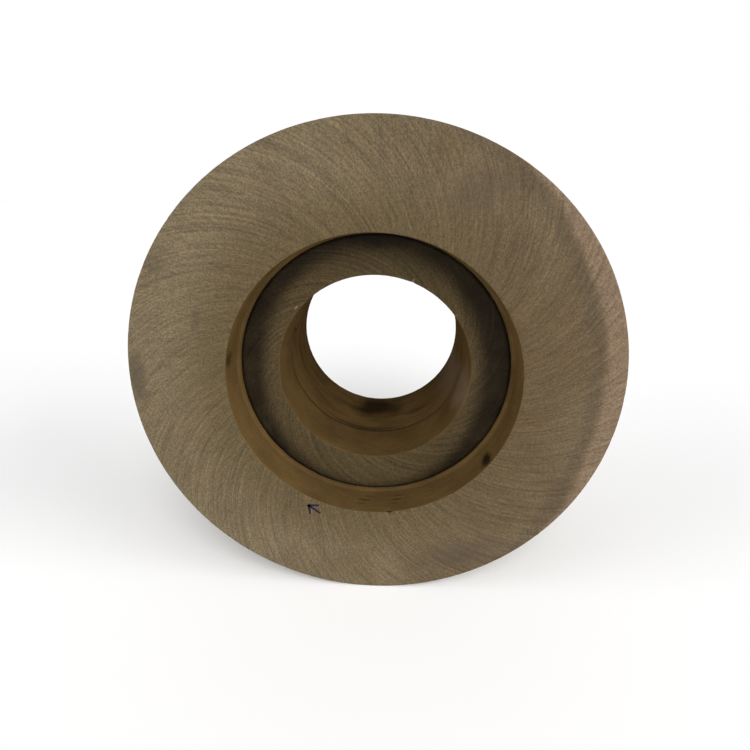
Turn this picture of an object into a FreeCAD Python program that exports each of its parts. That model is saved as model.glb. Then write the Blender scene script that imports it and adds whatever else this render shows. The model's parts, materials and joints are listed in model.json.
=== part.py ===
"""Recessed grinding wheel: two abrasive sections cemented together, axis along Y, standing on its rim.

The origin is the wheel's centre. The recessed front face looks towards -Y and +Z is up.
"""
import FreeCAD, Part
import math
import os

# Driving dimensions, in millimetres
OUTSIDE_DIAMETER = 305.0       # 12 inch class
WIDTH = 127.0                  # 5 inch
BORE_DIAMETER = 127.0          # 5 inch, plain through both sections
RECESS_DIAMETER = 183.0
RECESS_DEPTH = 25.4            # 1 inch
CEMENT_THICKNESS = 0.3

ROOT_RADIUS = 2.0              # fillet between the recess wall and its floor
GROOVE_WIDTH = 0.6             # tool groove just inside the fillet
GROOVE_DEPTH = 0.4
GROOVE_LAND = 0.3              # flat between the fillet and the groove
RIM_EDGE_RADIUS = 0.7          # worn outside edges
RECESS_EDGE_RADIUS = 0.5
BORE_EDGE_RADIUS = 0.4

# Places worked out from them
OUTSIDE_R = OUTSIDE_DIAMETER / 2
BORE_R = BORE_DIAMETER / 2
RECESS_R = RECESS_DIAMETER / 2
FRONT_Y = -WIDTH / 2
BACK_Y = WIDTH / 2
FLOOR_Y = FRONT_Y + RECESS_DEPTH
JOINT_FRONT_Y = -CEMENT_THICKNESS / 2
JOINT_BACK_Y = CEMENT_THICKNESS / 2
GROOVE_OUTER_R = RECESS_R - ROOT_RADIUS - GROOVE_LAND
GROOVE_INNER_R = GROOVE_OUTER_R - GROOVE_WIDTH

FULL_TURN = 360.0


def rounded_corner(before, corner, after, radius):
    """Start, middle and end of the arc of this radius that rounds one corner of an outline."""
    to_before = (before - corner).normalize()
    to_after = (after - corner).normalize()
    half_angle = to_before.getAngle(to_after) / 2
    setback = radius / math.tan(half_angle)
    inward = (to_before + to_after).normalize()
    middle = corner + inward * (radius / math.sin(half_angle) - radius)
    return corner + to_before * setback, middle, corner + to_after * setback


def outline(corners):
    """Closed wire through (radius, y, corner radius) points, in the half-plane of the axis."""
    points = [FreeCAD.Vector(radius, y, 0) for radius, y, _ in corners]
    count = len(points)
    stretches = []
    for i, (_, _, rounding) in enumerate(corners):
        if rounding:
            arc = rounded_corner(points[i - 1], points[i], points[(i + 1) % count], rounding)
            stretches.append(arc)
        else:
            stretches.append((points[i], None, points[i]))
    edges = []
    for i, (start, middle, end) in enumerate(stretches):
        if middle is not None:
            edges.append(Part.Arc(start, middle, end).toShape())
        edges.append(Part.LineSegment(end, stretches[(i + 1) % count][0]).toShape())
    return Part.Wire(edges)


def turned(corners):
    """Solid of revolution about the wheel's axis."""
    centre = FreeCAD.Vector(0, 0, 0)
    axis = FreeCAD.Vector(0, 1, 0)
    return Part.Face(outline(corners)).revolve(centre, axis, FULL_TURN)


def front_section():
    """Half-width section with the flange recess, its root fillet and groove, and the front of the bore."""
    return turned([
        (OUTSIDE_R, FRONT_Y, RIM_EDGE_RADIUS),
        (OUTSIDE_R, JOINT_FRONT_Y, 0),
        (BORE_R, JOINT_FRONT_Y, 0),
        (BORE_R, FLOOR_Y, BORE_EDGE_RADIUS),
        (GROOVE_INNER_R, FLOOR_Y, 0),
        (GROOVE_INNER_R, FLOOR_Y + GROOVE_DEPTH, 0),
        (GROOVE_OUTER_R, FLOOR_Y + GROOVE_DEPTH, 0),
        (GROOVE_OUTER_R, FLOOR_Y, 0),
        (RECESS_R, FLOOR_Y, ROOT_RADIUS),
        (RECESS_R, FRONT_Y, RECESS_EDGE_RADIUS),
    ])


def rear_section():
    """Half-width section with the rear of the bore."""
    return turned([
        (OUTSIDE_R, JOINT_BACK_Y, 0),
        (OUTSIDE_R, BACK_Y, RIM_EDGE_RADIUS),
        (BORE_R, BACK_Y, BORE_EDGE_RADIUS),
        (BORE_R, JOINT_BACK_Y, 0),
    ])


def cement_layer():
    """Flat ring of resin cement, flush with the rim and with the bore."""
    return turned([
        (OUTSIDE_R, JOINT_FRONT_Y, 0),
        (OUTSIDE_R, JOINT_BACK_Y, 0),
        (BORE_R, JOINT_BACK_Y, 0),
        (BORE_R, JOINT_FRONT_Y, 0),
    ])


PIECES = {
    "front_section": front_section,
    "rear_section": rear_section,
    "cement_layer": cement_layer,
}

os.makedirs("parts", exist_ok=True)
for name, make in PIECES.items():
    solid = make()
    if not solid.isValid() or len(solid.Solids) != 1:
        raise ValueError(f"{name} is not one valid solid")
    solid.exportStep(f"parts/{name}.step")
    box = solid.BoundBox
    print(f"{name}: {solid.Volume / 1e6:.3f} litres, Y {box.YMin:.2f} to {box.YMax:.2f}")
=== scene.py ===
"""Looks of a recessed grinding wheel: two abrasive sections, the cement between them and an ink arrow.

Metres, with the wheel's axis along Y, its recessed front face towards -Y and +Z up.
"""
import json
import math

import bmesh
import bpy
from bpy.props import FloatProperty, FloatVectorProperty, PointerProperty
from mathutils import Matrix, Vector, noise


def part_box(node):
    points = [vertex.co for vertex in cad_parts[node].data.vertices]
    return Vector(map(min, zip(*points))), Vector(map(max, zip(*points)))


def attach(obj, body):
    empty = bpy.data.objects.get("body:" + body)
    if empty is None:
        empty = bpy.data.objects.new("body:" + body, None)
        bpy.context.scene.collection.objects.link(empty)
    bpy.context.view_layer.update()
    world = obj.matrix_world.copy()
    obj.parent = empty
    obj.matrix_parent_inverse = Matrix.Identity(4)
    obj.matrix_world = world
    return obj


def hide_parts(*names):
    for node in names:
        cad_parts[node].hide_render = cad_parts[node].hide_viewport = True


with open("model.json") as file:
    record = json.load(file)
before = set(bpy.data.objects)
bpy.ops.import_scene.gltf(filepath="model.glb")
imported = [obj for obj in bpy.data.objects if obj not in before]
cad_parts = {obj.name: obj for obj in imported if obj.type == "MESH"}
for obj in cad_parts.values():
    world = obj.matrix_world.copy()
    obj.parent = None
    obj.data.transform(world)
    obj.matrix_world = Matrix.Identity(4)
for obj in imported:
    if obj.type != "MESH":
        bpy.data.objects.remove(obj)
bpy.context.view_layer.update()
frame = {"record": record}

bl_info = {
    "name": "Recessed Grinding Wheel",
    "version": (1, 0, 0),
    "blender": (4, 5, 0),
    "location": "3D View > Sidebar > Grinding Wheel",
    "description": "Builds the looks of a bonded abrasive grinding wheel round its fixed frame",
    "category": "Add Mesh",
}

MM = 0.001


def frame_mount(name):
    """The frame's mount of this name."""
    return next(m for m in frame["record"]["mounts"] if m["name"] == name)


# Sizes that the frame holds
OUTSIDE_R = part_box("front_section")[1].x
FRONT_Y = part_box("front_section")[0].y
BACK_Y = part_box("rear_section")[1].y
CEMENT_FRONT_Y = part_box("cement_layer")[0].y
CEMENT_BACK_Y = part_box("cement_layer")[1].y
BORE_R = frame_mount("locating_bore")["dims"]["r_mm"] * MM
RECESS_R = frame_mount("flange_recess")["dims"]["r_mm"] * MM
WALL_LENGTH = frame_mount("flange_recess")["dims"]["length_mm"] * MM
FLOOR_Y = frame_mount("flange_seat")["pos_m"][1]
ROOT_RADIUS = FLOOR_Y - FRONT_Y - WALL_LENGTH

# Turning and meshing
STEPS = 720                       # facets round the wheel, 1.3 mm long at the rim
CLOSE_LOOPS = 2.0 * MM            # between the loops that carry wear on the recessed side
WIDE_LOOPS = 4.0 * MM             # the same on the rim and the back
EDGE_SEGMENTS = 4
ROOT_SEGMENTS = 8
SAME_PLACE = 0.015 * MM
SOUND_EDGE = 0.12                 # an edge crumbles only where its noise is above this

# Grinding scratches: their lean is stated at this radius, between the recess and the rim
LEAN_RADIUS = 120 * MM

# Spacings of the tool marks and grain on the finishes
MOULD_LINES, SKIN_GRAIN = 1.0 * MM, 0.8 * MM
BORING_RINGS, BORING_BANDS, BORED_GRAIN = 1.1 * MM, 9.5 * MM, 0.85 * MM
DRESSER_THREAD, DRESSER_FEED = 0.8 * MM, 5.4 * MM
CEMENT_STREAKS, CEMENT_FILLER = 0.25 * MM, 0.5 * MM
INK_GRAIN = 0.7 * MM
RESIN_IOR = 1.55

# Places of wear and of painted shade. An (x, z) middle and a radius; or y in millimetres and an angle round
# the wheel
TIDE = ((-41.9 * MM, -5.4 * MM), 176.7 * MM)
TIDE_WANDER = 13 * MM             # how far the coolant line strays from its circle
# painted shadow of the recess wall on the recess floor: the floor darkens outside a ring round this middle
FLOOR_SHADOW_MIDDLE = (-1.8 * MM, -3.0 * MM)
FLOOR_SHADOW_START, FLOOR_SHADOW_FULL = 65 * MM, 78 * MM
FLOOR_SHADOW_PULL = 13.2 * MM           # farther out above and below than at the sides
PIT_Y, PIT_DEGREES = 13.9, 166.4
CHIP_Y, CHIP_DEGREES = 48.0, -133
MOUTH_NICKS = (140, 68)           # degrees round the bore's front edge

# Stage
CAMERA_PLACE = Vector((16.1, -351.0, 115.4)) * MM
CAMERA_AIM = Vector((1.6, -63.5, 23.0)) * MM
CAMERA_LENS, SENSOR_WIDTH = 24.194, 36.0
CAMERA_SHIFT_Y = -0.0341
STAGE_RADIUS = 12.0
WORLD_LIGHT = 0.35                # the far wall lights the wheel by this share of how bright it looks
# name, side of the wheel and height in degrees, strength, width in degrees
LIGHTS = (("overhead_softbox", 12, 44, 1.6, 34),
          ("left_fill", -70, 18, 1.2, 44),
          ("right_fill", 70, 18, 2.2, 44))


def linear(hex_colour):
    """Linear RGBA of an sRGB hex colour."""
    channels = [int(hex_colour[i:i + 2], 16) / 255 for i in (1, 3, 5)]
    return [c / 12.92 if c <= 0.04045 else ((c + 0.055) / 1.055) ** 2.4 for c in channels] + [1.0]


def length_prop(name, description, millimetres):
    """A size that a user may change."""
    return FloatProperty(name=name, description=description, default=millimetres * MM,
                         min=0.0, unit="LENGTH", precision=5)


def colour_prop(name, description, hex_colour):
    """A colour that a user may change."""
    return FloatVectorProperty(name=name, description=description, default=linear(hex_colour),
                               size=4, min=0.0, max=1.0, subtype="COLOR")


class WheelSizes(bpy.types.PropertyGroup):
    """Sizes of the wheel's edges, wear and markings."""
    rim_edge: length_prop("Rim edge", "Radius of the worn outside edges", 0.7)
    recess_edge: length_prop("Recess edge", "Radius of the recess's edge", 0.5)
    bore_edge: length_prop("Bore edge", "Radius of the bore's edges", 0.4)
    groove_width: length_prop("Groove width", "Width of the tool groove round the floor", 0.6)
    groove_depth: length_prop("Groove depth", "Depth of the tool groove", 0.4)
    groove_land: length_prop("Groove land", "Flat between the root fillet and the groove", 0.3)
    chip_depth: length_prop("Chip depth", "Deepest crumbling of an edge", 0.3)
    chip_length: length_prop("Chip length", "Usual length of a crumbled stretch", 3.2)
    chip_reach: length_prop("Chip reach", "How far from an edge it crumbles", 1.0)
    unevenness: length_prop("Unevenness", "Hollows left in a ground face", 0.04)
    grit_spacing: length_prop("Grit spacing", "Spacing of the visible specks of grit", 0.9)
    scratch_spacing: length_prop("Scratch spacing", "Spacing of the coarse grinding scratches", 1.4)
    ink_width: length_prop("Ink width", "Width of the pen's stroke", 1.8)
    ink_height: length_prop("Ink height", "How far the ink stands off the face", 0.03)


class WheelColours(bpy.types.PropertyGroup):
    """Colours of the wheel's finishes."""
    face_inner: colour_prop("Face by the recess", "Ground abrasive next to the recess", "#574A30")
    face_outer: colour_prop("Face by the rim", "Ground abrasive next to the rim", "#6A5D46")
    face_warm: colour_prop("Warm patches", "Browner stretches of the ground abrasive", "#574730")
    # also the colour of painted light on the right side of the bore
    dry_rim_and_painted_light: colour_prop("Dry rim", "Pale border that the coolant has not reached", "#786450")
    floor: colour_prop("Recess floor", "Ground abrasive on the recess floor", "#4D4029")
    moulded: colour_prop("Moulded skin", "Resin-rich skin of the recess wall", "#644F2F")
    moulded_dark: colour_prop("Dark skin", "Darker stretches of the resin-rich skin", "#503E24")
    bored: colour_prop("Bored wall", "Machined wall of the bore's rear half", "#644E2E")
    scratch: colour_prop("Scratch", "Bottom of a grinding scratch", "#352B1C")
    # also the colour of painted shade on the recess floor, behind the bore joint and at the bottom of the
    # bore
    stain_and_painted_shade: colour_prop("Stain", "Oil and coolant stains", "#1C150D")
    # the colour of the painted shadow on the recess floor and in its groove
    painted_floor_shade: colour_prop("Slurry", "Dried grinding slurry in the recess", "#1B1409")
    haze: colour_prop("Haze", "Grey film that dried coolant leaves", "#453B2F")
    scuff: colour_prop("Scuff", "Fresh pale scuffs", "#A09479")
    cement: colour_prop("Cement", "Cured resin cement", "#2C2013")
    ink: colour_prop("Ink", "Purple-black pen ink", "#120A22")


# ---------------------------------------------------------------- meshes

def turned_ring(corners):
    """A closed ring turned about the wheel's axis from (radius, y) corners."""
    mesh = bmesh.new()
    points = [mesh.verts.new((radius, y, 0.0)) for radius, y in corners]
    for i, point in enumerate(points):
        mesh.edges.new((point, points[(i + 1) % len(points)]))
    bmesh.ops.spin(mesh, geom=mesh.verts[:] + mesh.edges[:], cent=(0, 0, 0), axis=(0, 1, 0),
                   angle=math.tau, steps=STEPS, use_merge=True)
    bmesh.ops.recalc_face_normals(mesh, faces=mesh.faces)
    return mesh


def half_plane(point):
    """(radius, y) of a point."""
    return Vector((math.hypot(point.x, point.z), point.y))


def is_at(vert, place):
    """Whether a vertex lies on the circle through a (radius, y) place."""
    return (half_plane(vert.co) - Vector(place)).length < SAME_PLACE


def round_edge(mesh, place, radius, segments=EDGE_SEGMENTS):
    """Rounds the circular edge that passes through a (radius, y) place."""
    ring = [e for e in mesh.edges if all(is_at(v, place) for v in e.verts)]
    bmesh.ops.bevel(mesh, geom=ring, offset=radius, offset_type="OFFSET", affect="EDGES",
                    segments=segments, profile=0.5, material=-1)


def add_loops(mesh, start, end, spacing):
    """Loops on the surface between two (radius, y) places, evenly spaced."""
    start, end = Vector(start), Vector(end)
    run = (end - start).normalized()
    length = (end - start).length

    def on_run(vert):
        offset = half_plane(vert.co) - start
        along = offset.dot(run)
        return -SAME_PLACE < along < length + SAME_PLACE and (offset - run * along).length < SAME_PLACE

    def crosses(edge):
        a, b = (half_plane(v.co) for v in edge.verts)
        return (a - b).length > SAME_PLACE and all(on_run(v) for v in edge.verts)

    spans = [e for e in mesh.edges if crosses(e)]
    bmesh.ops.subdivide_edges(mesh, edges=spans, cuts=round(length / spacing), use_grid_fill=True)


def crumble(mesh, sizes, edges, nicks, seed):
    """Crumbles the edges at (radius, y) places, knocks in nicks and leaves the faces a little uneven."""
    mesh.normal_update()
    offset = Vector((seed, 0, 0))
    places = [Vector(e) for e in edges]
    for vert in mesh.verts:
        place = half_plane(vert.co)
        near = max(0.0, 1 - min((place - e).length for e in places) / sizes.chip_reach)
        broken = noise.noise(vert.co / sizes.chip_length + offset)
        fine = noise.noise(vert.co / (0.3 * sizes.chip_length) + offset)
        depth = near * sizes.chip_depth * max(0.0, broken + 0.5 * fine - SOUND_EDGE)
        depth += sizes.unevenness * max(0.0, noise.noise(vert.co / (4 * sizes.chip_length) + offset))
        for centre, reach, deepest in nicks:
            depth += deepest * max(0.0, 1 - (vert.co - centre).length / reach)
        vert.co -= vert.normal * depth


def groove_radii(sizes):
    """Inner and outer radius of the tool groove round the recess floor."""
    outer = RECESS_R - ROOT_RADIUS - sizes.groove_land
    return outer - sizes.groove_width, outer


def on_circle(radius, y, degrees):
    """The point at this radius, place along the axis and angle from +X towards +Z."""
    turn = math.radians(degrees)
    return Vector((radius * math.cos(turn), y, radius * math.sin(turn)))


def finish_piece(name, mesh, materials, which, node):
    """Makes the object, gives each face its material and joins it to the frame."""
    for face in mesh.faces:
        face.smooth = True
        face.material_index = which(half_plane(face.calc_center_median()))
    data = bpy.data.meshes.new(name)
    mesh.to_mesh(data)
    mesh.free()
    for material in materials:
        data.materials.append(material)
    piece = bpy.data.objects.new(name, data)
    bpy.context.scene.collection.objects.link(piece)
    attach(piece, "root")
    if node:
        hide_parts(node)


# ---------------------------------------------------------------- patterns

def add(tree, kind, inputs, output=0, **settings):
    """Adds a node with its settings, sets or links its inputs, and gives one of its outputs."""
    made = tree.nodes.new("ShaderNode" + kind)
    for key, value in settings.items():
        setattr(made, key, value)
    keyed = inputs if isinstance(inputs, dict) else dict(enumerate(inputs))
    for key, value in keyed.items():
        if isinstance(value, bpy.types.NodeSocket):
            tree.links.new(value, made.inputs[key])
        else:
            made.inputs[key].default_value = value
    return made.outputs[output] if made.outputs else None


def new_material(name):
    """An empty node material, its tree, and the place on the wheel in Object coordinates."""
    material = bpy.data.materials.new(name)
    material.use_nodes = True
    tree = material.node_tree
    tree.nodes.clear()
    return material, tree, add(tree, "TexCoord", {}, "Object")


def close_material(tree, colour, roughness, height, relief, shine=0.2, **finish):
    """The shader and output. relief is the real depth in metres between height 0 and 1."""
    bump = add(tree, "Bump", {"Height": height, "Distance": relief, "Strength": 1.0})
    shader = add(tree, "BsdfPrincipled", {
        "Base Color": colour, "Roughness": roughness, "Normal": bump, "IOR": RESIN_IOR,
        "Specular IOR Level": shine, **finish})
    add(tree, "OutputMaterial", {"Surface": shader})


def polar(tree, place, centre=(0.0, 0.0)):
    """The unit vector away from an axis through (x, z), and the distance from it."""
    moved = add(tree, "VectorMath", (place, (centre[0], 0, centre[1])), operation="SUBTRACT")
    flat = add(tree, "VectorMath", (moved, (1, 0, 1)), operation="MULTIPLY")
    unit = add(tree, "VectorMath", (flat,), operation="NORMALIZE")
    return unit, add(tree, "VectorMath", (flat,), "Value", operation="LENGTH")


def swirl(tree, place, lean, spacing, run, centre, flatten=1.7):
    """Noise drawn out along spiral arcs, as the edge of a cup wheel leaves them.

    The arcs lean from the radius by the angle lean at LEAN_RADIUS. The tangent of the lean grows with the
    radius to the power flatten, so an arc has turned by tangent / flatten when it reaches a radius.
    """
    unit, radius = polar(tree, place, centre)
    share = add(tree, "Math", (radius, LEAN_RADIUS), operation="DIVIDE")
    grown = add(tree, "Math", (share, flatten), operation="POWER")
    turn = add(tree, "Math", (grown, math.tan(lean) / flatten), operation="MULTIPLY")
    # a turn about +Y takes +X towards -Z, so this one undoes the arc's own turn towards +Z
    straight = add(tree, "VectorRotate", {"Vector": unit, "Axis": (0, 1, 0), "Angle": turn},
                   rotation_type="AXIS_ANGLE")
    around = LEAN_RADIUS * math.cos(lean) / spacing
    spread = add(tree, "VectorMath", (straight, (around, 0, around)), operation="MULTIPLY")
    along = add(tree, "Math", (radius, run), operation="DIVIDE")
    coords = add(tree, "VectorMath", (spread, add(tree, "CombineXYZ", {"Y": along})), operation="ADD")
    return add(tree, "TexNoise", {"Vector": coords, "Scale": 1.0, "Detail": 2.0, "Roughness": 0.6})


def turning_marks(tree, place, spacing, run):
    """Noise drawn out round the axis, as a lathe tool leaves a wall. run is in radians."""
    unit, _ = polar(tree, place)
    around = add(tree, "VectorMath", (unit, (1 / run, 1 / run, 1 / run)), operation="MULTIPLY")
    depth = add(tree, "SeparateXYZ", {"Vector": place}, "Y")
    along = add(tree, "Math", (depth, spacing), operation="DIVIDE")
    coords = add(tree, "VectorMath", (around, add(tree, "CombineXYZ", {"Y": along})), operation="ADD")
    return add(tree, "TexNoise", {"Vector": coords, "Scale": 1.0, "Detail": 3.0, "Roughness": 0.6})


def patches(tree, place, size, low=0.38, high=0.64):
    """Soft-edged patches of this size in metres, 0 between them and 1 inside."""
    cloud = add(tree, "TexNoise", {"Vector": place, "Scale": 1 / size, "Detail": 2.0, "Roughness": 0.55})
    return add(tree, "MapRange", (cloud, low, high, 0.0, 1.0), interpolation_type="SMOOTHSTEP")


def toned(tree, colour, pattern, spread):
    """The colour made darker and lighter by a pattern, by the share spread each way."""
    tone = add(tree, "MapRange", (pattern, 0.3, 0.7, 1 - spread, 1 + spread))
    return add(tree, "Mix", {0: 1.0, 6: colour, 7: tone}, 2, data_type="RGBA", blend_type="MULTIPLY")


def blots(tree, place, colour, marks):
    """Lays ragged oval marks over a colour. Each is (centre, half sizes, degrees, strength, its colour)."""
    for centre, half_sizes, degrees, strength, laid in marks:
        moved = add(tree, "VectorMath", (place, centre), operation="SUBTRACT")
        turn = math.radians(degrees)
        turned = add(tree, "VectorRotate", {"Vector": moved, "Axis": (0, 1, 0), "Angle": turn},
                     rotation_type="AXIS_ANGLE")
        scaled = add(tree, "VectorMath", (turned, tuple(1 / s for s in half_sizes)), operation="MULTIPLY")
        far = add(tree, "VectorMath", (scaled,), "Value", operation="LENGTH")
        ragged = add(tree, "TexNoise", {"Vector": place, "Scale": 1 / (0.7 * min(half_sizes)), "Detail": 3.0})
        edge = add(tree, "Math", (ragged, 0.8, far), operation="MULTIPLY_ADD")
        share = add(tree, "MapRange", (edge, 0.6, 1.4, strength, 0.0), interpolation_type="SMOOTHSTEP")
        colour = add(tree, "Mix", {0: share, 6: colour, 7: laid}, 2, data_type="RGBA")
    return colour


# ---------------------------------------------------------------- finishes

def scratched(tree, place, spacing, lean, centre):
    """Coarse, fine and crossing grinding scratches over each other, about 0.5 where there is none."""
    coarse = swirl(tree, place, lean, spacing, 0.040, centre)
    fine = swirl(tree, place, lean, 0.42 * spacing, 0.028, centre)
    crossing = swirl(tree, place, 0.35 * lean, 0.6 * spacing, 0.030, (-centre[0], centre[1]))
    both = add(tree, "Mix", {0: 0.5, 2: coarse, 3: fine})
    return add(tree, "Mix", {0: 0.25, 2: both, 3: crossing})


def ground_face(name, sizes, colours, lean, centre, tide, marks):
    """Green silicon carbide in brown resin, ground flat by a turning cup wheel.

    The bond is brown and the grain green, so the face is olive-brown and matt. The cup leaves spiral
    arcs. Scratches of this grit are too fine to see, so the arcs are drawn at the spacing of the coarse
    feed marks. tide is the (centre, radius) of the line that coolant dried back to, with a paler rim
    outside it.
    """
    material, tree, place = new_material(name)
    scratches = scratched(tree, place, sizes.scratch_spacing, lean, centre)
    _, radius = polar(tree, place)
    outward = add(tree, "MapRange", (radius, 0.093, 0.135, 0.0, 1.0), interpolation_type="SMOOTHSTEP")
    colour = add(tree, "Mix", {0: outward, 6: colours.face_inner, 7: colours.face_outer}, 2, data_type="RGBA")
    sideways = add(tree, "SeparateXYZ", {"Vector": place}, "X")
    browner = add(tree, "MapRange", (sideways, -0.072, 0.096, 0.0, 0.55), interpolation_type="SMOOTHSTEP")
    cloudy = add(tree, "Math", (patches(tree, place, 0.042), 0.35, browner), operation="MULTIPLY_ADD")
    colour = add(tree, "Mix", {0: cloudy, 6: colour, 7: colours.face_warm}, 2, data_type="RGBA")
    if tide:
        _, from_middle = polar(tree, place, tide[0])
        wander = add(tree, "TexNoise", {"Vector": place, "Scale": 30.0, "Detail": 3.0})
        reach = add(tree, "Math", (wander, TIDE_WANDER, from_middle), operation="MULTIPLY_ADD")
        beyond = add(tree, "Math", (reach, tide[1] + TIDE_WANDER / 2), operation="SUBTRACT")
        off_line = add(tree, "Math", (beyond,), operation="ABSOLUTE")
        line = add(tree, "MapRange", (off_line, 0.0006, 0.0072, 0.32, 0.0), interpolation_type="SMOOTHSTEP")
        dry = add(tree, "MapRange", (beyond, 0.0024, 0.0084, 0.0, 0.8), interpolation_type="SMOOTHSTEP")
        colour = add(tree, "Mix", {0: dry, 6: colour, 7: colours.dry_rim_and_painted_light}, 2, data_type="RGBA")
        colour = add(tree, "Mix", {0: line, 6: colour, 7: colours.haze}, 2, data_type="RGBA")
    colour = toned(tree, colour, scratches, 0.48)
    grit = add(tree, "TexNoise", {"Vector": place, "Scale": 1 / sizes.grit_spacing, "Detail": 2.0})
    colour = toned(tree, colour, grit, 0.3)
    colour = blots(tree, place, colour, marks)
    height = add(tree, "Math", (scratches, 1.5, grit), operation="MULTIPLY_ADD")
    roughness = add(tree, "MapRange", (grit, 0.3, 0.7, 0.62, 0.8))
    close_material(tree, colour, roughness, height, 0.05 * MM)
    return material


def ground_floor(name, sizes, colours, marks):
    """The same abrasive turned flat with a finer tool, with a painted shadow of the recess wall on its outer
    part.

    The tool's close rings stretch the shine across themselves, so the floor looks paler above and below
    the bore than beside it. The painted shadow lies widest at the sides and towards the top, and painted
    shade darkens the groove.
    """
    material, tree, place = new_material(name)
    scratches = scratched(tree, place, 0.7 * sizes.scratch_spacing, math.radians(76), (0.0024, -0.0018))
    outwards, radius = polar(tree, place)
    # painted shadow of the recess wall: darker farther from its middle, starting farther out above and below
    _, from_shadow_middle = polar(tree, place, FLOOR_SHADOW_MIDDLE)
    upwards = add(tree, "SeparateXYZ", {"Vector": outwards}, "Z")
    upright = add(tree, "Math", (upwards, upwards), operation="MULTIPLY")
    reach = add(tree, "Math", (upright, -FLOOR_SHADOW_PULL, from_shadow_middle), operation="MULTIPLY_ADD")
    painted_floor_shade = add(tree, "MapRange", (reach, FLOOR_SHADOW_START, FLOOR_SHADOW_FULL, 0.0, 1.0),
                 interpolation_type="SMOOTHSTEP")
    inner, _ = groove_radii(sizes)
    # painted shade in the tool groove, joined to the painted shadow
    painted_groove_shade = add(tree, "MapRange", (radius, inner - 0.2 * MM, inner + 0.3 * MM, 0.0, 0.7),
                    interpolation_type="SMOOTHSTEP")
    painted_floor_shade = add(tree, "Math", (painted_floor_shade, painted_groove_shade), operation="MAXIMUM")
    cloudy = patches(tree, place, 0.018, 0.3, 0.7)
    share = add(tree, "MapRange", (cloudy, 0.0, 1.0, 0.78, 0.95))
    painted_floor_shade = add(tree, "Math", (painted_floor_shade, share), operation="MULTIPLY")
    colour = add(tree, "Mix", {0: painted_floor_shade, 6: colours.floor, 7: colours.painted_floor_shade}, 2, data_type="RGBA")
    colour = toned(tree, colour, scratches, 0.6)
    grit = add(tree, "TexNoise", {"Vector": place, "Scale": 1 / sizes.grit_spacing, "Detail": 2.0})
    colour = toned(tree, colour, grit, 0.32)
    colour = blots(tree, place, colour, marks)
    height = add(tree, "Math", (scratches, 1.5, grit), operation="MULTIPLY_ADD")
    roughness = add(tree, "MapRange", (grit, 0.3, 0.7, 0.5, 0.62))
    close_material(tree, colour, roughness, height, 0.03 * MM, shine=0.1,
                   **{"Anisotropic": 0.7, "Tangent": outwards})
    return material


def moulded_skin(name, colours, marks):
    """Resin-rich skin where the wheel was cast against its mould.

    The skin is golden brown, closed and a little shiny, with faint lines drawn out round the wall.
    """
    material, tree, place = new_material(name)
    lines = turning_marks(tree, place, MOULD_LINES, 0.16)
    cloudy = patches(tree, place, 0.03, 0.1, 0.9)
    colour = add(tree, "Mix", {0: cloudy, 6: colours.moulded_dark, 7: colours.moulded}, 2, data_type="RGBA")
    colour = toned(tree, colour, lines, 0.12)
    grit = add(tree, "TexNoise", {"Vector": place, "Scale": 1 / SKIN_GRAIN, "Detail": 2.0})
    colour = toned(tree, colour, grit, 0.14)
    colour = blots(tree, place, colour, marks)
    height = add(tree, "Math", (lines, 0.5, grit), operation="MULTIPLY_ADD")
    roughness = add(tree, "MapRange", (cloudy, 0.0, 1.0, 0.55, 0.68))
    close_material(tree, colour, roughness, height, 0.025 * MM, shine=0.0)
    return material


def bored_wall(name, colours, marks):
    """Abrasive cut to size with a boring tool: darker and duller than the skin, and ringed by the tool.

    Painted shade darkens a thin band of it next to the joint in front of it.
    """
    material, tree, place = new_material(name)
    rings = turning_marks(tree, place, BORING_RINGS, 0.3)
    broad = turning_marks(tree, place, BORING_BANDS, 0.5)
    wide = add(tree, "MapRange", (broad, 0.4, 0.66, 0.0, 0.4), interpolation_type="SMOOTHSTEP")
    colour = add(tree, "Mix", {0: wide, 6: colours.bored, 7: colours.scratch}, 2, data_type="RGBA")
    colour = toned(tree, colour, rings, 0.2)
    depth = add(tree, "SeparateXYZ", {"Vector": place}, "Y")
    # painted shade in a thin band just behind the joint
    joint_shade = add(tree, "MapRange", (depth, 0.0003, 0.0012, 0.85, 0.0), interpolation_type="SMOOTHSTEP")
    colour = add(tree, "Mix", {0: joint_shade, 6: colour, 7: colours.stain_and_painted_shade}, 2, data_type="RGBA")
    grit = add(tree, "TexNoise", {"Vector": place, "Scale": 1 / BORED_GRAIN, "Detail": 2.0})
    colour = toned(tree, colour, grit, 0.16)
    colour = blots(tree, place, colour, marks)
    height = add(tree, "Math", (rings, 1.2, grit), operation="MULTIPLY_ADD")
    roughness = add(tree, "MapRange", (grit, 0.3, 0.7, 0.6, 0.75))
    close_material(tree, colour, roughness, height, 0.035 * MM, shine=0.0)
    return material


def dressed_rim(name, sizes, colours):
    """The working surface, trued with a dresser: open grain and a close thread of dressing marks."""
    material, tree, place = new_material(name)
    thread = turning_marks(tree, place, DRESSER_THREAD, 0.2)
    feed = turning_marks(tree, place, DRESSER_FEED, 0.3)
    cloudy = patches(tree, place, 0.036, 0.2, 1.1)
    colour = add(tree, "Mix", {0: cloudy, 6: colours.face_outer, 7: colours.face_warm}, 2, data_type="RGBA")
    colour = toned(tree, colour, thread, 0.2)
    colour = toned(tree, colour, feed, 0.14)
    grit = add(tree, "TexNoise", {"Vector": place, "Scale": 1 / sizes.grit_spacing, "Detail": 3.0})
    colour = toned(tree, colour, grit, 0.2)
    height = add(tree, "Math", (thread, 0.8, grit), operation="MULTIPLY_ADD")
    roughness = add(tree, "MapRange", (grit, 0.3, 0.7, 0.66, 0.82))
    close_material(tree, colour, roughness, height, 0.07 * MM)
    return material


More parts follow.
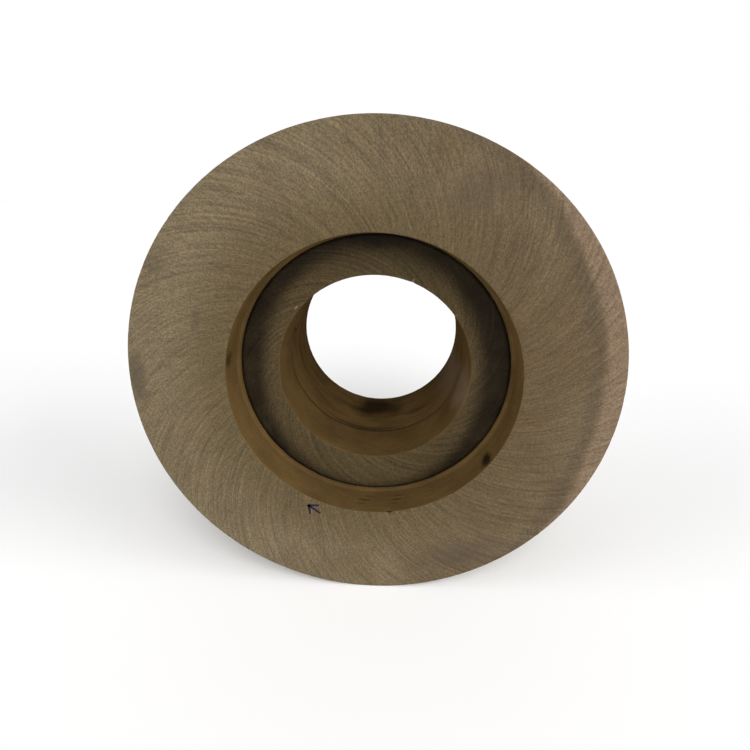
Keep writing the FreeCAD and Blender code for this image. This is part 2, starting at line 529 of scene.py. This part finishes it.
def cured_cement(colours):
    """Epoxy cement, trued with the wheel: dark, close and slightly shiny where it is resin only."""
    material, tree, place = new_material("cured_epoxy_cement")
    filler = add(tree, "TexNoise", {"Vector": place, "Scale": 1 / CEMENT_FILLER, "Detail": 3.0})
    streaks = turning_marks(tree, place, CEMENT_STREAKS, 0.03)
    colour = toned(tree, toned(tree, colours.cement, streaks, 0.3), filler, 0.15)
    roughness = add(tree, "MapRange", (filler, 0.3, 0.7, 0.35, 0.55))
    close_material(tree, colour, roughness, filler, 0.03 * MM)
    return material


def pen_ink(colours):
    """Marker ink that has soaked into the abrasive, so that the grain thins it in places."""
    material, tree, place = new_material("marker_ink")
    soak = add(tree, "TexNoise", {"Vector": place, "Scale": 1 / INK_GRAIN, "Detail": 3.0})
    thin = add(tree, "MapRange", (soak, 0.45, 0.75, 0.0, 0.4), interpolation_type="SMOOTHSTEP")
    colour = add(tree, "Mix", {0: thin, 6: colours.ink, 7: colours.scratch}, 2, data_type="RGBA")
    roughness = add(tree, "MapRange", (soak, 0.3, 0.7, 0.45, 0.65))
    close_material(tree, colour, roughness, soak, 0.02 * MM)
    return material


# ---------------------------------------------------------------- marks of use, and painted light and shade

def face_mark(x, z, wide, high, degrees, strength, colour):
    """A mark on the front face: its centre and half sizes in millimetres, its turn and its strength."""
    return (x * MM, FRONT_Y, z * MM), (wide * MM, 18 * MM, high * MM), degrees, strength, colour


def wall_mark(radius, y, degrees, around, along, strength, colour):
    """A mark on a round wall: y and half sizes in millimetres, and its angle round the wheel."""
    centre = tuple(on_circle(radius, y * MM, degrees))
    return centre, (around * MM, along * MM, around * MM), 0.0, strength, colour


def front_face_marks(colours):
    """Handling marks, coolant haze and oil on the front face."""
    return [
        face_mark(-106.5, 39.5, 4.2, 12.0, -14, 0.40, colours.haze),
        face_mark(-84.3, 26.3, 4.2, 6.0, 0, 0.50, colours.stain_and_painted_shade),
        face_mark(-127.4, 73.0, 10.2, 7.8, 0, 0.45, colours.haze),
        face_mark(-147.1, 2.4, 7.8, 25.1, 0, 0.55, colours.haze),
        face_mark(57.4, 113.6, 29.9, 14.4, 20, 0.40, colours.haze),
        face_mark(84.9, 35.9, 5.4, 13.2, 20, 0.42, colours.moulded_dark),
        face_mark(59.8, -122.6, 41.9, 15.5, 20, 0.45, colours.haze),
    ]


def recess_wall_marks(colours):
    """Oil runs and rubbed places on the recess wall."""
    dark_mark_colour = colours.stain_and_painted_shade
    return [
        wall_mark(RECESS_R, -56.0, -36, 7.2, 10.2, 0.92, dark_mark_colour),
        wall_mark(RECESS_R, -50.0, -94, 6.6, 1.8, 0.50, dark_mark_colour),
        wall_mark(RECESS_R, -45.3, -92, 6.0, 1.4, 0.40, dark_mark_colour),
        wall_mark(RECESS_R, -54.2, -95, 5.4, 1.3, 0.40, dark_mark_colour),
        wall_mark(RECESS_R, -50.0, -80, 6.0, 1.7, 0.50, dark_mark_colour),
        wall_mark(RECESS_R, -45.3, -79, 5.4, 1.3, 0.40, dark_mark_colour),
        wall_mark(RECESS_R, -54.2, -81, 5.4, 1.3, 0.35, dark_mark_colour),
        wall_mark(RECESS_R, -62.6, -83, 3.0, 1.1, 0.85, dark_mark_colour),
        wall_mark(RECESS_R, -57.2, 172, 7.2, 9.6, 0.60, dark_mark_colour),
    ]


def rear_bore_marks(colours):
    """Oil and rubs in the rear of the bore, with painted shade at its bottom near the back edge and behind
    the joint, painted light on its right side and a painted dark spot in the pit.
    """
    dark_mark_colour = colours.stain_and_painted_shade
    return [
        # painted light on the right side of the bore, in the dry rim colour
        wall_mark(BORE_R, 30.0, -24, 24.0, 50.0, 0.75, colours.dry_rim_and_painted_light),
        wall_mark(BORE_R, CHIP_Y, CHIP_DEGREES, 1.8, 3.6, 0.90, dark_mark_colour),
        # painted shade in the pit: a dark spot in the ink colour
        wall_mark(BORE_R, PIT_Y, PIT_DEGREES, 3.6, 9.0, 1.0, colours.ink),
        # painted shade at the bottom of the bore near the back edge
        wall_mark(BORE_R, 42.7, -91, 28.7, 29.9, 0.85, dark_mark_colour),
        wall_mark(BORE_R, 21.7, -60, 12.0, 7.2, 0.30, dark_mark_colour),
        # painted shadow at the bottom of the bore just behind the joint
        wall_mark(BORE_R, 2.6, -96, 35.9, 4.8, 0.45, dark_mark_colour),
    ]


# ---------------------------------------------------------------- operators

class WHEEL_OT_front_section(bpy.types.Operator):
    """Builds the front section, with its recess, groove and the front of the bore"""
    bl_idname = "wheel.front_section"
    bl_label = "Front section"

    def execute(self, context):
        sizes, colours = context.scene.wheel_sizes, context.scene.wheel_colours
        groove_inner, groove_outer = groove_radii(sizes)
        groove_bottom = FLOOR_Y + sizes.groove_depth
        rim, recess = (OUTSIDE_R, FRONT_Y), (RECESS_R, FRONT_Y)
        root, mouth = (RECESS_R, FLOOR_Y), (BORE_R, FLOOR_Y)
        mesh = turned_ring([
            rim, (OUTSIDE_R, CEMENT_FRONT_Y), (BORE_R, CEMENT_FRONT_Y), mouth,
            (groove_inner, FLOOR_Y), (groove_inner, groove_bottom),
            (groove_outer, groove_bottom), (groove_outer, FLOOR_Y), root, recess])
        round_edge(mesh, rim, sizes.rim_edge)
        round_edge(mesh, recess, sizes.recess_edge)
        round_edge(mesh, mouth, sizes.bore_edge)
        round_edge(mesh, root, ROOT_RADIUS, ROOT_SEGMENTS)
        add_loops(mesh, (RECESS_R + sizes.recess_edge, FRONT_Y), (OUTSIDE_R - sizes.rim_edge, FRONT_Y),
                  CLOSE_LOOPS)
        add_loops(mesh, (OUTSIDE_R, FRONT_Y + sizes.rim_edge), (OUTSIDE_R, CEMENT_FRONT_Y), WIDE_LOOPS)
        add_loops(mesh, (RECESS_R, FRONT_Y + sizes.recess_edge), (RECESS_R, FLOOR_Y - ROOT_RADIUS),
                  CLOSE_LOOPS)
        add_loops(mesh, (BORE_R + sizes.bore_edge, FLOOR_Y), (groove_inner, FLOOR_Y), CLOSE_LOOPS)
        add_loops(mesh, (BORE_R, FLOOR_Y + sizes.bore_edge), (BORE_R, CEMENT_FRONT_Y), CLOSE_LOOPS)
        nicks = [
            (on_circle(BORE_R, FLOOR_Y, MOUTH_NICKS[0]), 2.4 * MM, 0.5 * MM),
            (on_circle(BORE_R, FLOOR_Y, MOUTH_NICKS[1]), 2 * MM, 0.4 * MM),
            (on_circle(RECESS_R, FRONT_Y, -83), 2.4 * MM, 0.7 * MM),
        ]
        crumble(mesh, sizes, [rim, recess, mouth], nicks, seed=3)

        def which(place):
            if place.y > CEMENT_FRONT_Y - SAME_PLACE:
                return 1
            if place.x > OUTSIDE_R - sizes.rim_edge and place.y > FRONT_Y + sizes.rim_edge / 2:
                return 4
            if place.y < FRONT_Y + sizes.recess_edge / 2 and place.x > RECESS_R:
                return 0
            if place.x > groove_outer:
                return 2
            return 1 if place.x > BORE_R + sizes.bore_edge / 2 else 3

        left = tuple(on_circle(BORE_R + 2.2 * MM, FLOOR_Y, MOUTH_NICKS[0]))
        right = tuple(on_circle(BORE_R + 1.6 * MM, FLOOR_Y, MOUTH_NICKS[1]))
        floor_scuffs_and_shadow = [
            (left, (0.7 * MM, 5 * MM, 2.2 * MM), -40, 0.55, colours.scuff),
            # painted shadow under the recess's top edge, in the stain colour
            ((4 * MM, FLOOR_Y, 88 * MM), (46 * MM, 10 * MM, 11 * MM), 0, 0.9, colours.stain_and_painted_shade),
            (right, (0.7 * MM, 5 * MM, 2.0 * MM), -30, 0.55, colours.scuff),
        ]
        # painted light on the right side of the front bore, in the dry rim colour, then a small stain
        bore_marks = [wall_mark(BORE_R, -20, -16, 24, 40, 0.7, colours.dry_rim_and_painted_light),
                      wall_mark(BORE_R, -14.2, 171, 1.1, 3.9, 0.75, colours.stain_and_painted_shade)]
        materials = [
            ground_face("ground_face_abrasive", sizes, colours, math.radians(36), (0.0072, 0.0048), TIDE,
                        front_face_marks(colours)),
            ground_floor("ground_recess_floor", sizes, colours, floor_scuffs_and_shadow),
            moulded_skin("moulded_recess_wall", colours, recess_wall_marks(colours)),
            moulded_skin("moulded_bore_front", colours, bore_marks),
            dressed_rim("dressed_rim_front", sizes, colours),
        ]
        finish_piece("front_abrasive_section", mesh, materials, which, "front_section")
        return {"FINISHED"}


class WHEEL_OT_rear_section(bpy.types.Operator):
    """Builds the rear section, with the rear of the bore"""
    bl_idname = "wheel.rear_section"
    bl_label = "Rear section"

    def execute(self, context):
        sizes, colours = context.scene.wheel_sizes, context.scene.wheel_colours
        rim, back_mouth = (OUTSIDE_R, BACK_Y), (BORE_R, BACK_Y)
        mesh = turned_ring([(OUTSIDE_R, CEMENT_BACK_Y), rim, back_mouth, (BORE_R, CEMENT_BACK_Y)])
        round_edge(mesh, rim, sizes.rim_edge)
        round_edge(mesh, back_mouth, sizes.bore_edge)
        add_loops(mesh, (BORE_R + sizes.bore_edge, BACK_Y), (OUTSIDE_R - sizes.rim_edge, BACK_Y),
                  WIDE_LOOPS)
        add_loops(mesh, (OUTSIDE_R, CEMENT_BACK_Y), (OUTSIDE_R, BACK_Y - sizes.rim_edge), WIDE_LOOPS)
        add_loops(mesh, (BORE_R, CEMENT_BACK_Y), (BORE_R, BACK_Y - sizes.bore_edge), CLOSE_LOOPS)
        nicks = [
            (on_circle(BORE_R, CHIP_Y * MM, CHIP_DEGREES), 2.4 * MM, 0.8 * MM),
            (on_circle(BORE_R, PIT_Y * MM, PIT_DEGREES), 2.4 * MM, 1.0 * MM),
            (on_circle(OUTSIDE_R, BACK_Y, 40), 3.6 * MM, 0.9 * MM),
            (on_circle(OUTSIDE_R, BACK_Y, -120), 2.4 * MM, 0.7 * MM),
            (on_circle(BORE_R, BACK_Y, 100), 2.4 * MM, 0.7 * MM),
        ]
        crumble(mesh, sizes, [rim, back_mouth], nicks, seed=11)

        def which(place):
            if place.x > OUTSIDE_R - sizes.rim_edge / 2 and place.y < BACK_Y - sizes.rim_edge / 2:
                return 2
            return 1 if place.x < BORE_R + sizes.bore_edge / 2 else 0

        back_marks = [
            ((96 * MM, BACK_Y, -78 * MM), (24 * MM, 18 * MM, 14 * MM), 30, 0.35, colours.haze),
            ((-114 * MM, BACK_Y, 36 * MM), (8 * MM, 18 * MM, 30 * MM), 12, 0.35, colours.haze),
        ]
        materials = [
            ground_face("ground_back_abrasive", sizes, colours, math.radians(-38), (-0.0054, 0.0066), None,
                        back_marks),
            bored_wall("bored_locating_wall", colours, rear_bore_marks(colours)),
            dressed_rim("dressed_rim_rear", sizes, colours),
        ]
        finish_piece("rear_abrasive_section", mesh, materials, which, "rear_section")
        return {"FINISHED"}


class WHEEL_OT_cement_line(bpy.types.Operator):
    """Builds the cement between the sections, sunk a hair below them"""
    bl_idname = "wheel.cement_line"
    bl_label = "Cement line"

    def execute(self, context):
        sizes, colours = context.scene.wheel_sizes, context.scene.wheel_colours
        mesh = turned_ring([(OUTSIDE_R, CEMENT_FRONT_Y), (OUTSIDE_R, CEMENT_BACK_Y),
                            (BORE_R, CEMENT_BACK_Y), (BORE_R, CEMENT_FRONT_Y)])
        # the wheel is trued after it is cemented, so the line only sinks, and unevenly
        for vert in mesh.verts:
            sunk = 0.15 * MM * max(0.0, noise.noise(vert.co / sizes.chip_length))
            outward = 1 if half_plane(vert.co).x > (OUTSIDE_R + BORE_R) / 2 else -1
            vert.co -= Vector((vert.co.x, 0, vert.co.z)).normalized() * sunk * outward
        finish_piece("cement_line", mesh, [cured_cement(colours)], lambda place: 0, "cement_layer")
        return {"FINISHED"}


class WHEEL_OT_ink_arrow(bpy.types.Operator):
    """Draws the small pen arrow on the front face"""
    bl_idname = "wheel.ink_arrow"
    bl_label = "Ink arrow"

    def execute(self, context):
        sizes, colours = context.scene.wheel_sizes, context.scene.wheel_colours
        tip = (-43.1, -87.6)
        strokes = [(tip, (-36.4, -87.4)), (tip, (-42.2, -94.0)), (tip, (-35.5, -93.4))]
        mesh = bmesh.new()
        for start, end in strokes:
            ends = []
            for (x, z), width in ((start, 1.0), (end, 0.7)):
                # the film's back is let into the face, which the wear has left a little hollow
                disc = bmesh.ops.create_cone(
                    mesh, cap_ends=True, segments=20, radius1=sizes.ink_width * width / 2,
                    radius2=sizes.ink_width * width / 2, depth=4 * sizes.ink_height,
                    matrix=Matrix.Translation((x * MM, FRONT_Y + sizes.ink_height, z * MM))
                    @ Matrix.Rotation(math.radians(90), 4, "X"))
                ends += disc["verts"]
            hull = bmesh.ops.convex_hull(mesh, input=ends)
            inside = {g for g in hull["geom_interior"] + hull["geom_unused"]
                      if isinstance(g, bmesh.types.BMVert)}
            bmesh.ops.delete(mesh, geom=list(inside), context="VERTS")
        bmesh.ops.recalc_face_normals(mesh, faces=mesh.faces)
        finish_piece("ink_arrow", mesh, [pen_ink(colours)], lambda place: 0, None)
        return {"FINISHED"}


class WHEEL_OT_stage(bpy.types.Operator):
    """Builds the floor, the soft lights and the camera"""
    bl_idname = "wheel.stage"
    bl_label = "Stage"

    def execute(self, context):
        scene = context.scene
        mesh = bmesh.new()
        bmesh.ops.create_circle(mesh, cap_ends=True, segments=96, radius=STAGE_RADIUS,
                                matrix=Matrix.Translation((0, 0, -OUTSIDE_R)))
        data = bpy.data.meshes.new("studio_floor")
        mesh.to_mesh(data)
        mesh.free()
        floor = bpy.data.objects.new("studio_floor", data)
        scene.collection.objects.link(floor)
        material, tree, _ = new_material("pale_studio_floor")
        shader = add(tree, "BsdfPrincipled", {"Base Color": linear("#FFFFFF"), "Roughness": 0.9})
        add(tree, "OutputMaterial", {"Surface": shader})
        data.materials.append(material)

        world = bpy.data.worlds.new("pale_studio")
        world.use_nodes = True
        world.node_tree.nodes.clear()
        seen = add(world.node_tree, "LightPath", {}, "Is Camera Ray")
        strength = add(world.node_tree, "MapRange", (seen, 0.0, 1.0, WORLD_LIGHT, 1.0))
        wall = add(world.node_tree, "Background", {"Color": linear("#FFFFFF"), "Strength": strength})
        add(world.node_tree, "OutputWorld", {"Surface": wall})
        scene.world = world
        scene.view_settings.view_transform = "Standard"

        for name, side, height, strength, width in LIGHTS:
            lamp = bpy.data.lights.new(name, "SUN")
            lamp.energy, lamp.angle = strength, math.radians(width)
            light = bpy.data.objects.new(name, lamp)
            side, height = math.radians(side), math.radians(height)
            towards = Vector((math.sin(side) * math.cos(height), -math.cos(side) * math.cos(height),
                              math.sin(height)))
            light.rotation_euler = (-towards).to_track_quat("-Z", "Y").to_euler()
            scene.collection.objects.link(light)

        lens = bpy.data.cameras.new("camera")
        lens.sensor_width, lens.lens, lens.shift_y = SENSOR_WIDTH, CAMERA_LENS, CAMERA_SHIFT_Y
        camera = bpy.data.objects.new("camera", lens)
        camera.location = CAMERA_PLACE
        camera.rotation_euler = (CAMERA_AIM - CAMERA_PLACE).to_track_quat("-Z", "Y").to_euler()
        scene.collection.objects.link(camera)
        scene.camera = camera
        return {"FINISHED"}


class WHEEL_PT_panel(bpy.types.Panel):
    """Lists the wheel's sizes, colours and pieces"""
    bl_idname = "WHEEL_PT_panel"
    bl_label = "Grinding Wheel"
    bl_space_type = "VIEW_3D"
    bl_region_type = "UI"
    bl_category = "Grinding Wheel"

    def draw(self, context):
        for group in (context.scene.wheel_sizes, context.scene.wheel_colours):
            box = self.layout.box()
            for name in type(group).__annotations__:
                box.prop(group, name)
        for operator in OPERATORS:
            self.layout.operator(operator.bl_idname)


OPERATORS = (WHEEL_OT_stage, WHEEL_OT_front_section, WHEEL_OT_rear_section, WHEEL_OT_cement_line,
             WHEEL_OT_ink_arrow)
CLASSES = (WheelSizes, WheelColours, *OPERATORS, WHEEL_PT_panel)


def register():
    for cls in CLASSES:
        bpy.utils.register_class(cls)
    bpy.types.Scene.wheel_sizes = PointerProperty(type=WheelSizes)
    bpy.types.Scene.wheel_colours = PointerProperty(type=WheelColours)


def unregister():
    del bpy.types.Scene.wheel_sizes
    del bpy.types.Scene.wheel_colours
    for cls in reversed(CLASSES):
        bpy.utils.unregister_class(cls)


def main():
    """Builds everything in order."""
    register()
    bpy.ops.wheel.stage()
    bpy.ops.wheel.front_section()
    bpy.ops.wheel.rear_section()
    bpy.ops.wheel.cement_line()
    bpy.ops.wheel.ink_arrow()


if __name__ == "__main__":
    main()
